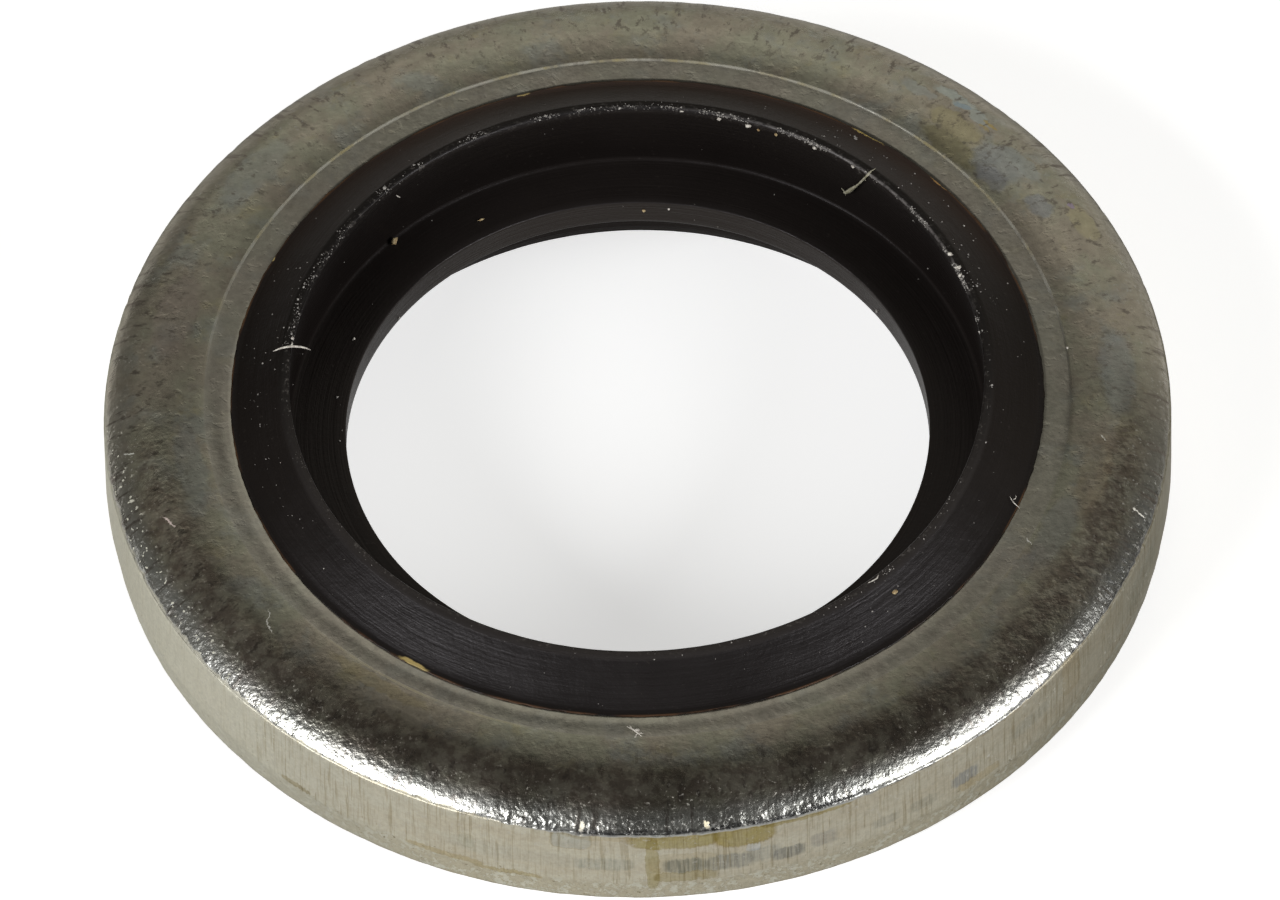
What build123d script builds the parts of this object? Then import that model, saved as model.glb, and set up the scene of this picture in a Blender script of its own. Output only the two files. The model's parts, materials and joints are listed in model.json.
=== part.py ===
from build123d import *
from math import atan2, cos, radians, sin, tan
import os

# A self-centring bonded sealing washer for a G1/8 thread. A blanked steel ring carries a
# rubber seal, moulded and bonded into its bore. The seal has a lip standing proud of each
# face and a thin web that holds the washer on the thread.
# Millimetres. The axis is Z, and z = 0 is the crest of the lower lip.

# Fit on the thread, and the walls from there outwards, all radial
thread_diameter = 9.728  # outside diameter of the G1/8 thread
web_grip = 0.524  # the web reaches this far inside the thread's crests
lip_clearance = 0.296  # between the thread's crests and the lips
lip_wall = 0.76  # rubber between the lips' bore and the steel
ring_width = 2.02

# Rubber section
web_thickness = 0.46
web_root_radius = 0.06
lip_height = 0.43  # each crest above its metal face
lip_lean = 0.03  # the lips' bore opens by this radius from the crests to the web
crest_width = 0.12
foot_width = 0.08  # from the metal to where the lip's slope would start
foot_flat = 0.02  # the level part of the foot, before its fillet

# Steel section
ring_thickness = 2.08
bore_chamfer = 0.12  # edge break of the bore at both faces, filled by the rubber
clamp_land_width = 0.39  # pressed into both faces where the mould closed on the metal
clamp_land_depth = 0.02

# Blanked rim: roll-over above, burnished band, then the rough fracture
rollover_width = 1.10
rollover_drop = 0.44
rollover_sweep = 66.0  # degrees of an ellipse, from the face to the crease
fracture_height = 0.50
fracture_taper = 0.06
bottom_edge_break = 0.06

web_radius = thread_diameter / 2 - web_grip
lip_radius = thread_diameter / 2 + lip_clearance
bore_radius = lip_radius + lip_wall
rim_radius = bore_radius + ring_width
border_radius = bore_radius + bore_chamfer  # where rubber meets metal on each land
land_radius = border_radius + clamp_land_width

mid_plane = lip_height + ring_thickness / 2
top_face = lip_height + ring_thickness
bottom_face = lip_height
top_land = top_face - clamp_land_depth
bottom_land = bottom_face + clamp_land_depth


def revolved(outline):
    """Turn a closed outline, drawn as radius and height, about the washer's axis."""
    return revolve(Plane.XZ * make_face(outline), Axis.Z)


def steel_ring():
    """The blanked ring, with its rolled-over upper rim, fracture zone and clamp lands."""
    sweep = radians(rollover_sweep)
    rollover_start = rim_radius - rollover_width
    half_width = rollover_width / sin(sweep)
    half_height = rollover_drop / (1 - cos(sweep))
    rollover = EllipticalCenterArc(
        (rollover_start, top_face - half_height),
        half_width,
        half_height,
        start_angle=90,
        arc_size=-rollover_sweep,
    )
    crease = (rim_radius, top_face - rollover_drop)
    bottom_radius = rim_radius - fracture_taper
    outside = Polyline(
        crease,
        (rim_radius, bottom_face + fracture_height),
        (bottom_radius, bottom_face + bottom_edge_break),
        (bottom_radius - bottom_edge_break, bottom_face),
        (land_radius, bottom_face),
        (land_radius, bottom_land),
        (border_radius, bottom_land),
        (bore_radius, bottom_land + bore_chamfer),
        (bore_radius, top_land - bore_chamfer),
        (border_radius, top_land),
        (land_radius, top_land),
        (land_radius, top_face),
        (rollover_start, top_face),
    )
    return revolved(rollover + outside)


def rubber_seal():
    """The moulded seal: a lip on each face, the centring web, and the bond to the bore."""
    web_top = mid_plane + web_thickness / 2
    crest = top_face + lip_height
    crest_radius = lip_radius + crest_width
    slope_start = border_radius - foot_width
    slope = atan2(crest - top_land, slope_start - crest_radius)
    foot_radius = (foot_width - foot_flat) / tan(slope / 2)
    upper_half = [
        ((web_radius, web_top), 0),
        ((lip_radius + lip_lean, web_top), web_root_radius),
        ((lip_radius, crest), 0),
        ((crest_radius, crest), 0),
        ((slope_start, top_land), foot_radius),
        ((border_radius, top_land), 0),
        ((bore_radius, top_land - bore_chamfer), 0),
    ]
    lower_half = [
        ((radius, 2 * mid_plane - height), fillet_radius)
        for (radius, height), fillet_radius in reversed(upper_half)
    ]
    corners = upper_half + lower_half
    points = [point for point, fillet_radius in corners]
    radii = [fillet_radius for point, fillet_radius in corners]
    return revolved(FilletPolyline(points, radius=radii, close=True))


nodes = {
    "steel_ring": steel_ring(),
    "rubber_seal": rubber_seal(),
}

os.makedirs("parts", exist_ok=True)
for name, solid in nodes.items():
    solid.label = name
    export_step(solid, f"parts/{name}.step")
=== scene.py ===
import itertools
import json
import random
from functools import partialmethod
from math import atan, cos, degrees, exp, pi, radians, sin, sqrt, tan

import bpy
import numpy as np
from mathutils import Matrix, Vector, noise
from mathutils.geometry import interpolate_bezier


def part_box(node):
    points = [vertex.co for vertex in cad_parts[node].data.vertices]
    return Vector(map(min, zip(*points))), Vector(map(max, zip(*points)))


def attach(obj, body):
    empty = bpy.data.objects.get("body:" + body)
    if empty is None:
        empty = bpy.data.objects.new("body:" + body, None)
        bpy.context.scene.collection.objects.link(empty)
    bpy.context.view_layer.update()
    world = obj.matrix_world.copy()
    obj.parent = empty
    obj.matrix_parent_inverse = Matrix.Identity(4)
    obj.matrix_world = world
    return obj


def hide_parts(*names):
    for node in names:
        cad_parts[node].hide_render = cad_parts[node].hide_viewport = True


# The looks of a bonded sealing washer. Both pieces are turned again as fine meshes on the
# CAD's section, with the tumbled surface, the mould's marks and the dirt of a real one.
# Sizes here are in millimetres, and Blender's units are metres. An angle round the washer
# is in degrees from the front, and positive towards +X.
MM = 0.001

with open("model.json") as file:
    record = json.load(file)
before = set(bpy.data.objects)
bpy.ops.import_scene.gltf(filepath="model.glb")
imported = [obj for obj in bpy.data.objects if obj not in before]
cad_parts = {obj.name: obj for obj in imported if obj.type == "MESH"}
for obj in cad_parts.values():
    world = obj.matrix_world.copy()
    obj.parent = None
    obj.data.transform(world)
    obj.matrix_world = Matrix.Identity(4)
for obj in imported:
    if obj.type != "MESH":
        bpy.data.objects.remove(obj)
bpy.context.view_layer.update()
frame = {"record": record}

# --- sizes from the frame
steel_low, steel_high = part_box("steel_ring")
seal_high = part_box("rubber_seal")[1]
mounts = {mount["name"]: mount for mount in frame["record"]["mounts"]}

BOTTOM_FACE = steel_low[2] / MM
TOP_FACE = steel_high[2] / MM
CREST = seal_high[2] / MM
MID_PLANE = (BOTTOM_FACE + TOP_FACE) / 2
RIM = mounts["outer_rim"]["dims"]["r_mm"]
WEB_RADIUS = mounts["web_bore"]["dims"]["r_mm"]
WEB_THICKNESS = mounts["web_bore"]["dims"]["length_mm"]

# --- sizes that repeat the section's own
LIP_RADIUS = 5.16
LIP_LEAN = 0.03
BORE = 5.92
BORDER = 6.04
LAND = 6.43
LAND_DEPTH = 0.02
BORE_CHAMFER = 0.12
CREST_WIDTH = 0.12
FOOT_WIDTH = 0.08
WEB_ROOT = 0.06
ROLLOVER_WIDTH = 1.1
ROLLOVER_DROP = 0.44
ROLLOVER_SWEEP = 66
FRACTURE_HEIGHT = 0.5
FRACTURE_TAPER = 0.06
EDGE_BREAK = 0.06
CROWN = 6.62
STEP_RUN = 0.024
STEP_SIDE = 0.01  # a narrow row on each side keeps the step's shading off the faces beside it
WORN_FROM = 60.5  # degrees of the roll-over's sweep at which its worn edge begins

TOP_LAND = TOP_FACE - LAND_DEPTH
BOTTOM_LAND = BOTTOM_FACE + LAND_DEPTH
CREASE = TOP_FACE - ROLLOVER_DROP
FRACTURE_TOP = BOTTOM_FACE + FRACTURE_HEIGHT
WEB_TOP = MID_PLANE + WEB_THICKNESS / 2
LIP_ROOT = LIP_RADIUS + LIP_LEAN
CREST_OUTER = LIP_RADIUS + CREST_WIDTH
SLOPE_FOOT = BORDER - FOOT_WIDTH
STEP_START = LAND - STEP_SIDE
STEP_TOP = LAND + STEP_RUN
STEP_END = STEP_TOP + STEP_SIDE
SEGMENTS = 960

# The roll-over's ellipse, and the small round that its edge has worn to
ROLL_START = RIM - ROLLOVER_WIDTH
HALF_WIDTH = ROLLOVER_WIDTH / sin(radians(ROLLOVER_SWEEP))
HALF_HEIGHT = ROLLOVER_DROP / (1 - cos(radians(ROLLOVER_SWEEP)))
WORN_TURN = radians(WORN_FROM)
WORN_SLOPE = atan(HALF_HEIGHT * tan(WORN_TURN) / HALF_WIDTH)
WORN_ROUND = (ROLLOVER_WIDTH - HALF_WIDTH * sin(WORN_TURN)) / (1 - sin(WORN_SLOPE))
WORN_HEIGHT = TOP_FACE - HALF_HEIGHT * (1 - cos(WORN_TURN))
WALL_TOP = WORN_HEIGHT - WORN_ROUND * cos(WORN_SLOPE)


# --- outlines
def line(start, end, steps):
    """Points from start towards end, with the end left to the next stretch."""
    share = np.arange(steps)[:, None] / steps
    return (1 - share) * np.array(start, float) + share * np.array(end, float)


def arc(centre, radii, from_degrees, to_degrees, steps):
    """Points of an ellipse's arc, with its end left to the next stretch."""
    turn = np.radians(from_degrees + (to_degrees - from_degrees) * np.arange(steps) / steps)
    return np.array(centre) + np.array(radii) * np.stack([np.cos(turn), np.sin(turn)], axis=1)


def walk(stops, end):
    """Points through the stops, each with its steps to the next, short of the end."""
    points = [point for point, steps in stops] + [end]
    return np.concatenate([
        line(start, stop, steps) for (start, steps), stop in zip(stops, points[1:])
    ])


def flipped(points):
    """The same stretch below the mid-plane, walked the other way."""
    back = points[::-1].copy()
    back[:, 1] = 2 * MID_PLANE - back[:, 1]
    return back


def steel_outline():
    """The ring's section, from the bore's top chamfer out over the face and back below."""
    foot = RIM - FRACTURE_TAPER
    roll_centre = (ROLL_START, TOP_FACE - HALF_HEIGHT)
    worn_centre = (RIM - WORN_ROUND, WALL_TOP)
    top = [
        ((BORE, TOP_LAND - BORE_CHAMFER), 3),
        ((BORDER, TOP_LAND), 7),
        ((STEP_START, TOP_LAND), 1),
        ((LAND, TOP_LAND), 2),
        ((STEP_TOP, TOP_FACE), 1),
        ((STEP_END, TOP_FACE), 3),
        ((CROWN, TOP_FACE), 3),
    ]
    wall_and_bottom = [
        ((RIM, WALL_TOP), 12),
        ((RIM, FRACTURE_TOP), 10),
        ((foot, BOTTOM_FACE + EDGE_BREAK), 3),
        ((foot - EDGE_BREAK, BOTTOM_FACE), 5),
        ((STEP_TOP, BOTTOM_FACE), 2),
        ((LAND, BOTTOM_LAND), 3),
        ((BORDER, BOTTOM_LAND), 2),
        ((BORE, BOTTOM_LAND + BORE_CHAMFER), 2),
    ]
    return np.concatenate([
        walk(top, (ROLL_START, TOP_FACE)),
        arc(roll_centre, (HALF_WIDTH, HALF_HEIGHT), 90, 90 - WORN_FROM, 26),
        arc(worn_centre, (WORN_ROUND, WORN_ROUND), 90 - degrees(WORN_SLOPE), 0, 9),
        walk(wall_and_bottom, (BORE, TOP_LAND - BORE_CHAMFER)),
    ])


def seal_outline():
    """The seal's section: the upper half from the web out to the bond, then its mirror."""
    edge = 0.015
    foot_lift = 0.026
    feather = 0.004
    flank = [
        ((LIP_ROOT, WEB_TOP + WEB_ROOT), 8),
        ((LIP_RADIUS, CREST - edge), 1),
        ((LIP_RADIUS + edge, CREST), 4),
        ((CREST_OUTER, CREST), 13),
    ]
    bond = [
        ((SLOPE_FOOT + 0.03, TOP_LAND + 0.005), 3),
        ((BORDER, TOP_LAND + feather), 1),
        ((BORE, TOP_LAND - BORE_CHAMFER), 1),
    ]
    upper = np.concatenate([
        line((WEB_RADIUS, MID_PLANE), (WEB_RADIUS, WEB_TOP - edge), 4),
        arc((WEB_RADIUS + edge, WEB_TOP - edge), (edge, edge), 180, 90, 2),
        line((WEB_RADIUS + edge, WEB_TOP), (LIP_ROOT - WEB_ROOT, WEB_TOP), 6),
        arc((LIP_ROOT - WEB_ROOT, WEB_TOP + WEB_ROOT), (WEB_ROOT, WEB_ROOT), -90, 0, 4),
        walk(flank, (SLOPE_FOOT - 0.04, TOP_LAND + foot_lift)),
        arc((SLOPE_FOOT + 0.03, TOP_LAND + 0.12), (0.11, 0.115), -125, -90, 3),
        walk(bond, (BORE, MID_PLANE)),
    ])
    return np.concatenate([upper, np.array([[BORE, MID_PLANE]]), flipped(upper)[:-1]])


# --- meshes
def spot(angle, radius, height):
    """The place, in millimetres, at an angle round the washer."""
    turn = radians(angle)
    return Vector((radius * sin(turn), -radius * cos(turn), height))


def fractal(point, size, octaves=3):
    """Smooth noise of about -1 to 1 whose largest bumps are size millimetres apart."""
    return noise.fractal(Vector(point) / size, 1, 2, octaves, noise_basis="PERLIN_ORIGINAL")


def ramp(value, low, high):
    """0 at low and 1 at high, with a soft start and end."""
    share = min(1, max(0, (value - low) / (high - low)))
    return share * share * (3 - 2 * share)


def placed(name, data):
    """An object that shows the data, in the scene."""
    thing = bpy.data.objects.new(name, data)
    bpy.context.scene.collection.objects.link(thing)
    return thing


def mesh_piece(name, points, faces, material):
    """A smooth-shaded mesh whose points are in millimetres."""
    mesh = bpy.data.meshes.new(name)
    mesh.from_pydata([Vector(point) * MM for point in points], [], faces)
    mesh.update()
    mesh.polygons.foreach_set("use_smooth", [True] * len(mesh.polygons))
    mesh.materials.append(material)
    return placed(name, mesh)


def wrapped(rings, sides, closed):
    """Faces between rings of points, each ring with so many sides."""
    faces = []
    for ring in range(rings if closed else rings - 1):
        here, there = ring * sides, (ring + 1) % rings * sides
        for side in range(sides):
            after = (side + 1) % sides
            faces.append((here + side, here + after, there + after, there + side))
    return faces


def turned(outline, wobble):
    """Turn an outline about Z. wobble(place, radius, height) shifts each point of it."""
    points = []
    for column in range(SEGMENTS):
        angle = 360 * column / SEGMENTS
        for radius, height in outline:
            radius, height = wobble(spot(angle, radius, height), radius, height)
            points.append(spot(angle, radius, height))
    return points, wrapped(SEGMENTS, len(outline), closed=True)


# Knocks on the blanked edge and the roll-over: angle, height, size and depth
NICKS = [
    (-71.5, 2.16, 0.09, 0.045),
    (-68.7, 2.1, 0.07, 0.035),
    (-25, 2.1, 0.06, 0.018),
    (-8.6, 2.02, 0.13, 0.03),
    (-6.4, 2.12, 0.07, 0.04),
    (7.3, 2.12, 0.07, 0.04),
    (24, 2.08, 0.07, 0.022),
    (-140, 2.12, 0.06, 0.025),
    (118, 2.12, 0.07, 0.025),
]
SMALL_NICKS = 70
knocks = random.Random(11)
for _ in range(SMALL_NICKS):
    angle = knocks.uniform(-180, 180)
    height = CREASE + knocks.uniform(-0.03, 0.1)
    NICKS.append((angle, height, knocks.uniform(0.03, 0.08), knocks.uniform(0.006, 0.02)))
nick_places = [(spot(angle, RIM, height), size, depth) for angle, height, size, depth in NICKS]


def step_height(place, radius):
    """The clamp land's step, which is crisp at the back and worn to a soft slope in front."""
    worn = 1 - ramp(place[1] + 0.25 * place[0], -3, 2.5)
    climb = ramp(radius, LAND - 0.08 * worn, STEP_TOP + 0.08 * worn)
    depth = LAND_DEPTH * (1 - 0.8 * worn * ramp(radius, BORDER, BORDER + 0.15))
    return TOP_FACE - depth * (1 - climb)


def steel_wobble(place, radius, height):
    """Tumbled steel: slow waves, orange peel, a knocked crease and a torn fracture zone."""
    if height > MID_PLANE and BORDER < radius < LAND + 0.2:
        height = step_height(place, radius)
    if radius < BORDER + 0.02:
        return radius, height
    on_top = ramp(height, CREASE - 0.05, CREASE + 0.05)
    outer = ramp(radius, RIM - ROLLOVER_WIDTH, RIM)
    near_crease = 1 - ramp(abs(height - CREASE), 0, 0.12)
    if radius > RIM - 0.2:
        height += 0.008 * near_crease * fractal((place[0], place[1], 7), 0.35, 5)
    if on_top > 0.5:
        lift = 0.0012 * fractal(place, 0.3, 3) + 0.004 * fractal(place, 2, 2)
        lift += 0.0016 * outer * fractal((place[0], place[1], 5), 0.12, 2)
        lift -= 0.01 * ramp(radius, CROWN, CROWN + 0.48) + 0.002 * ramp(radius, CROWN, LAND)
        height = min(TOP_FACE, height + (lift - 0.003) * ramp(radius, BORDER, LAND - 0.05))
    torn_zone = 1 - ramp(height, FRACTURE_TOP - 0.1, FRACTURE_TOP + 0.1)
    if height > BOTTOM_FACE + 0.01 and radius > RIM - 0.3:
        streak = fractal((place[0], place[1], height * 0.1), 0.14, 3)
        torn = fractal((place[0], place[1], height), 0.35, 4)
        radius -= 0.002 + 0.0018 * (1 + streak) * (1 - on_top) + 0.006 * torn_zone * (1 + torn)
        for centre, size, depth in nick_places:
            away = (place - centre).length
            if away < 2 * size:
                radius -= depth * exp(-((away / size) ** 2) * 1.5)
    return radius, height


def seal_wobble(place, radius, height):
    """Moulded rubber: a lip that isn't quite true, and a feathered edge on the steel."""
    above = height > MID_PLANE
    if abs(height - MID_PLANE) > TOP_LAND - MID_PLANE - 0.001 and radius > BORDER - 0.02:
        side = 3 if above else 9
        radius += 0.022 * fractal((place[0], place[1], side), 0.9, 5) + 0.004
        radius += 0.012 * fractal((place[0], place[1], side), 0.16, 3)
    if radius < BORE:
        radius += 0.005 * fractal(place, 2.5, 2)
        nib = 0.003 * (fractal(place, 0.25, 3) - 1)
        height += nib if above else -nib
    return radius, height


# --- shader helpers
class Nodes:
    """A tree of nodes. Its methods add nodes and return an output."""

    def __init__(self, tree):
        self.tree = tree

    def node(self, kind, sockets, out=0, **settings):
        """Add a node, feed its inputs by name or number, and return one of its outputs."""
        node = self.tree.nodes.new("ShaderNode" + kind)
        for key, value in settings.items():
            setattr(node, key, value)
        for socket, value in sockets.items():
            self.feed(node.inputs[socket], value)
        return node.outputs[out]

    def feed(self, socket, value):
        if isinstance(value, bpy.types.NodeSocket):
            self.tree.links.new(value, socket)
        elif isinstance(value, tuple) and len(socket.default_value) == 4:
            socket.default_value = (*value, 1)
        else:
            socket.default_value = value

    def split(self, place):
        return tuple(self.node("SeparateXYZ", {0: place}).node.outputs)

    def vector(self, operation, *values, out="Vector"):
        return self.node("VectorMath", dict(enumerate(values)), out, operation=operation)

    def length(self, place):
        return self.vector("LENGTH", place, out="Value")

    def scale(self, place, factor):
        return self.vector("MULTIPLY", place, factor if isinstance(factor, tuple) else (factor,) * 3)

    def math(self, operation, *values):
        """One value out of several, taken in turn. A tuple stands for a ramp of its values."""
        first, *more = [self.ramp(*v) if isinstance(v, tuple) else v for v in values]
        for second in more or (0,):
            first = self.node("Math", {0: first, 1: second}, operation=operation)
        return first

    both = partialmethod(math, "MULTIPLY")
    total = partialmethod(math, "ADD")
    less = partialmethod(math, "SUBTRACT")
    most = partialmethod(math, "MAXIMUM")

    def ramp(self, value, low, high, to_low=0, to_high=1):
        """to_low where the value is low, and to_high where it is high, with a soft passage."""
        sockets = dict(enumerate((value, low, high, to_low, to_high)))
        return self.node("MapRange", sockets, "Result", interpolation_type="SMOOTHSTEP")

    def band(self, value, centre, half_width):
        """1 at centre, falling to 0 half a width away on either side."""
        away = self.math("ABSOLUTE", self.less(value, centre))
        return self.ramp(away, half_width, 0)


class Shader(Nodes):
    """A node material. Sizes are millimetres."""

    def __init__(self, name):
        self.material = bpy.data.materials.new(name)
        self.material.use_nodes = True
        super().__init__(self.material.node_tree)
        self.surface = self.tree.nodes["Principled BSDF"]
        self.place = self.scale(self.node("TexCoord", {}, "Object"), 1 / MM)
        self.across, self.along, self.height = self.split(self.place)
        flat = self.scale(self.place, (1, 1, 0))
        self.radius = self.length(flat)
        self.inset = self.less(RIM, self.radius)
        self.heading = self.vector("NORMALIZE", flat)
        self.unrolled = None

    def noise(self, size, detail=2, roughness=0.5, place=None, seed=0, out="Fac"):
        """Noise of 0 to 1 whose bumps are about size apart. size may be one for each axis."""
        place = self.place if place is None else place
        sizes = size if isinstance(size, tuple) else (size,) * 3
        place = self.scale(place, tuple(1 / axis for axis in sizes))
        if seed:
            place = self.vector("ADD", place, (seed,) * 3)
        sockets = {"Vector": place, "Scale": 1, "Detail": detail, "Roughness": roughness}
        return self.node("TexNoise", sockets, out)

    def turned_noise(self, around, outwards, detail=2, roughness=0.5):
        """Noise that is drawn out round the washer, or along its radius and height."""
        wheel = self.scale(self.heading, (LAND / around, LAND / around, 0))
        depth = self.math("DIVIDE", self.total(self.radius, self.height), outwards)
        place = self.vector("ADD", wheel, self.node("CombineXYZ", {2: depth}))
        return self.noise(1, detail, roughness, place)

    def toward(self, share, where):
        """1 where the mask is 0, and share where it is 1."""
        return self.ramp(where, 0, 1, 1, share)

    def tear(self, size, reach):
        """Make the edges of every patch that follows wander by up to about reach."""
        shift = self.vector("SUBTRACT", self.noise(size, 4, 0.65, out="Color"), (0.5, 0.5, 0.5))
        place = self.vector("ADD", self.place, self.scale(shift, reach * 4))
        across, along, height = self.split(place)
        angle = self.math("ARCTAN2", across, self.both(along, -1))
        radius = self.length(self.scale(place, (1, 1, 0)))
        self.unrolled = self.node("CombineXYZ", {0: angle, 1: radius, 2: height})

    def fray(self, size, reach):
        """Draw the edges of every patch that follows up and down in streaks."""
        streaks = self.noise((size, size, 4), 3, 0.6, seed=6)
        rise = self.both(self.less(streaks, 0.5), reach * 4)
        shift = self.node("CombineXYZ", {2: rise})
        self.unrolled = self.vector("ADD", self.unrolled, shift)

    def away(self, centre, sizes, tilt=0, squarer=False):
        """0 at a patch's centre and 1 at its edge, which is oval or a rounded square.

        The centre is an angle, a radius and a height. Half sizes run round, outwards and up.
        """
        angle, radius, height = centre
        local = self.vector("ADD", self.unrolled, (-radians(angle), -radius, -height))
        local = self.scale(local, (radius, 1, 1))
        if tilt:
            sockets = {"Vector": local, "Angle": radians(tilt)}
            local = self.node("VectorRotate", sockets, rotation_type="Z_AXIS")
        local = self.scale(local, tuple(1 / size for size in sizes))
        if squarer:
            return self.math("SQRT", self.length(self.vector("MULTIPLY", local, local)))
        return self.length(local)

    def patch(self, centre, sizes, soft=0.5, tilt=0):
        """1 inside a blob, falling to 0 over the soft share of its half size."""
        return self.ramp(self.away(centre, sizes, tilt), 1 + soft / 2, 1 - soft / 2)

    def mix(self, share, first, second, blend="MIX"):
        sockets = {0: share, 6: first, 7: second}
        return self.node("Mix", sockets, 2, data_type="RGBA", blend_type=blend)

    def over(self, color, *layers):
        """A colour under layers, each of them a mask and a colour."""
        for share, layer in layers:
            color = self.mix(share, color, layer)
        return color

    def tint(self, share, color, factor):
        """A colour that is multiplied by another one where share is 1."""
        return self.mix(share, color, factor, "MULTIPLY")

    def dimmed(self, color, share):
        return self.node("VectorMath", {0: color, "Scale": share}, operation="SCALE")

    def bump(self, height, distance, normal=None, strength=1):
        """Bump whose height of 0 to 1 stands for distance."""
        sockets = {"Distance": distance * MM, "Strength": strength, "Height": height}
        if normal is not None:
            sockets["Normal"] = normal
        return self.node("Bump", sockets)

    def finish(self, **sockets):
        for name, value in sockets.items():
            self.feed(self.surface.inputs[name.replace("_", " ")], value)
        return self.material


# --- materials
WALL_ROUGHNESS = 0.45
EXPORTED_GLOSS = 0.2  # stands for the rubber's reflection where only a plain value is kept

# Stains on the steel's face: angle, radius, half length, half width, strength and colour
FACE_STAINS = [
    (134, 6.66, 0.62, 0.2, 0.8, (0.27, 0.25, 0.16)),
    (136.5, 7.02, 0.5, 0.2, 0.7, (0.33, 0.3, 0.19)),
    (128.3, 6.96, 0.42, 0.34, 0.75, (0.275, 0.29, 0.305)),
    (126.8, 6.72, 0.3, 0.16, 0.6, (0.255, 0.262, 0.29)),
    (126.5, 7.24, 0.4, 0.14, 0.7, (0.35, 0.37, 0.36)),
    (119.8, 6.98, 0.26, 0.18, 0.75, (0.26, 0.272, 0.292)),
    (139.4, 7.48, 0.38, 0.12, 0.85, (0.41, 0.445, 0.43)),
    (135.4, 7.4, 0.22, 0.11, 0.75, (0.4, 0.435, 0.425)),
    (138, 7.42, 0.12, 0.07, 0.8, (0.29, 0.36, 0.42)),
    (143.6, 7.22, 0.3, 0.13, 0.55, (0.32, 0.345, 0.35)),
    (133.8, 7.43, 0.13, 0.04, 0.8, (0.43, 0.335, 0.145)),
    (133.9, 7.29, 0.1, 0.04, 0.7, (0.4, 0.325, 0.165)),
    (115.8, 7.44, 0.42, 0.17, 0.75, (0.42, 0.385, 0.27)),
    (118.7, 7.4, 0.05, 0.05, 0.8, (0.38, 0.31, 0.45)),
    (92, 7.15, 0.8, 0.26, 0.5, (0.29, 0.31, 0.325)),
    (76, 6.95, 0.8, 0.24, 0.4, (0.33, 0.27, 0.2)),
    (66, 6.72, 0.7, 0.24, 0.45, (0.275, 0.28, 0.29)),
    (57, 6.6, 0.6, 0.14, 0.35, (0.275, 0.28, 0.29)),
    (-104, 7.05, 0.8, 0.3, 0.5, (0.33, 0.28, 0.26)),
    (-80, 6.75, 0.7, 0.24, 0.5, (0.29, 0.31, 0.31)),
    (-128, 7.2, 0.8, 0.3, 0.4, (0.3, 0.32, 0.32)),
    (-36, 6.62, 0.9, 0.12, 0.5, (0.35, 0.3, 0.19)),
]
# Scratches and spots, the first two of them worn spots at knocks painted pale as their highlights:
# angle, radius, half length, half width, tilt and colour
SCRATCHES = [
    (-6.8, 7.868, 0.038, 0.066, 0, (0.84, 0.79, 0.66)),
    (6.7, 7.872, 0.03, 0.058, 0, (0.8, 0.72, 0.52)),
    (-72.6, 7.3, 0.13, 0.018, 10, (0.46, 0.38, 0.35)),
    (-53, 6.885, 0.2, 0.011, -32, (0.32, 0.31, 0.28)),
    (82, 6.95, 0.07, 0.01, 60, (0.36, 0.35, 0.31)),
    (73.3, 7.72, 0.09, 0.014, 80, (0.6, 0.58, 0.52)),
    (63, 6.45, 0.06, 0.01, 40, (0.36, 0.35, 0.32)),
    (-84, 7.6, 0.05, 0.012, 70, (0.4, 0.4, 0.36)),
]
# Water marks on the wall: angle, height, half length, half height, strength and tint
WATER_MARKS = [
    (-0.6, 2.08, 1.15, 0.16, 0.5, (0.86, 0.8, 0.66)),
    (3, 2.02, 0.68, 0.3, 0.95, (0.71, 0.66, 0.4)),
    (10.6, 1.98, 0.46, 0.36, 0.95, (0.68, 0.61, 0.32)),
    (17.5, 2.06, 0.7, 0.13, 0.9, (0.74, 0.68, 0.44)),
    (7.9, 1.74, 0.12, 0.12, 0.6, (1.12, 1.12, 1.18)),
    (0.7, 1.38, 0.095, 0.62, 0.9, (0.76, 0.72, 0.52)),
    (4, 1.36, 0.5, 0.22, 0.45, (0.88, 0.84, 0.72)),
    (4.2, 1.04, 0.46, 0.11, 0.9, (0.71, 0.66, 0.5)),
    (11.6, 1.54, 0.11, 0.1, 0.9, (1.02, 1.1, 1.3)),
    (-8, 1.88, 0.3, 0.19, 0.8, (0.82, 0.87, 0.94)),
    (-19.5, 1.45, 0.11, 0.16, 0.5, (0.84, 0.87, 0.84)),
    (-40.5, 1, 0.26, 0.05, 0.8, (0.62, 0.56, 0.42)),
    (-22, 1, 0.6, 0.06, 0.7, (0.8, 0.72, 0.52)),
    (-15, 0.92, 0.5, 0.05, 0.7, (0.78, 0.7, 0.48)),
    (38.5, 1.1, 0.4, 0.1, 0.6, (0.88, 0.8, 0.62)),
    (53, 1.7, 0.22, 0.4, 0.5, (0.88, 0.8, 0.66)),
    (100, 1.55, 0.6, 0.22, 0.7, (0.82, 0.77, 0.62)),
    (128, 1.9, 0.9, 0.16, 0.7, (0.78, 0.72, 0.52)),
    (151, 1.25, 0.35, 0.3, 0.6, (0.8, 0.76, 0.6)),
    (176, 1.8, 0.7, 0.25, 0.6, (0.84, 0.8, 0.66)),
    (-152, 1.35, 0.2, 0.5, 0.7, (0.8, 0.76, 0.58)),
    (-128, 1.95, 0.8, 0.14, 0.6, (0.82, 0.86, 0.9)),
    (-101, 1.2, 0.6, 0.16, 0.5, (0.8, 0.74, 0.56)),
]
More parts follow.
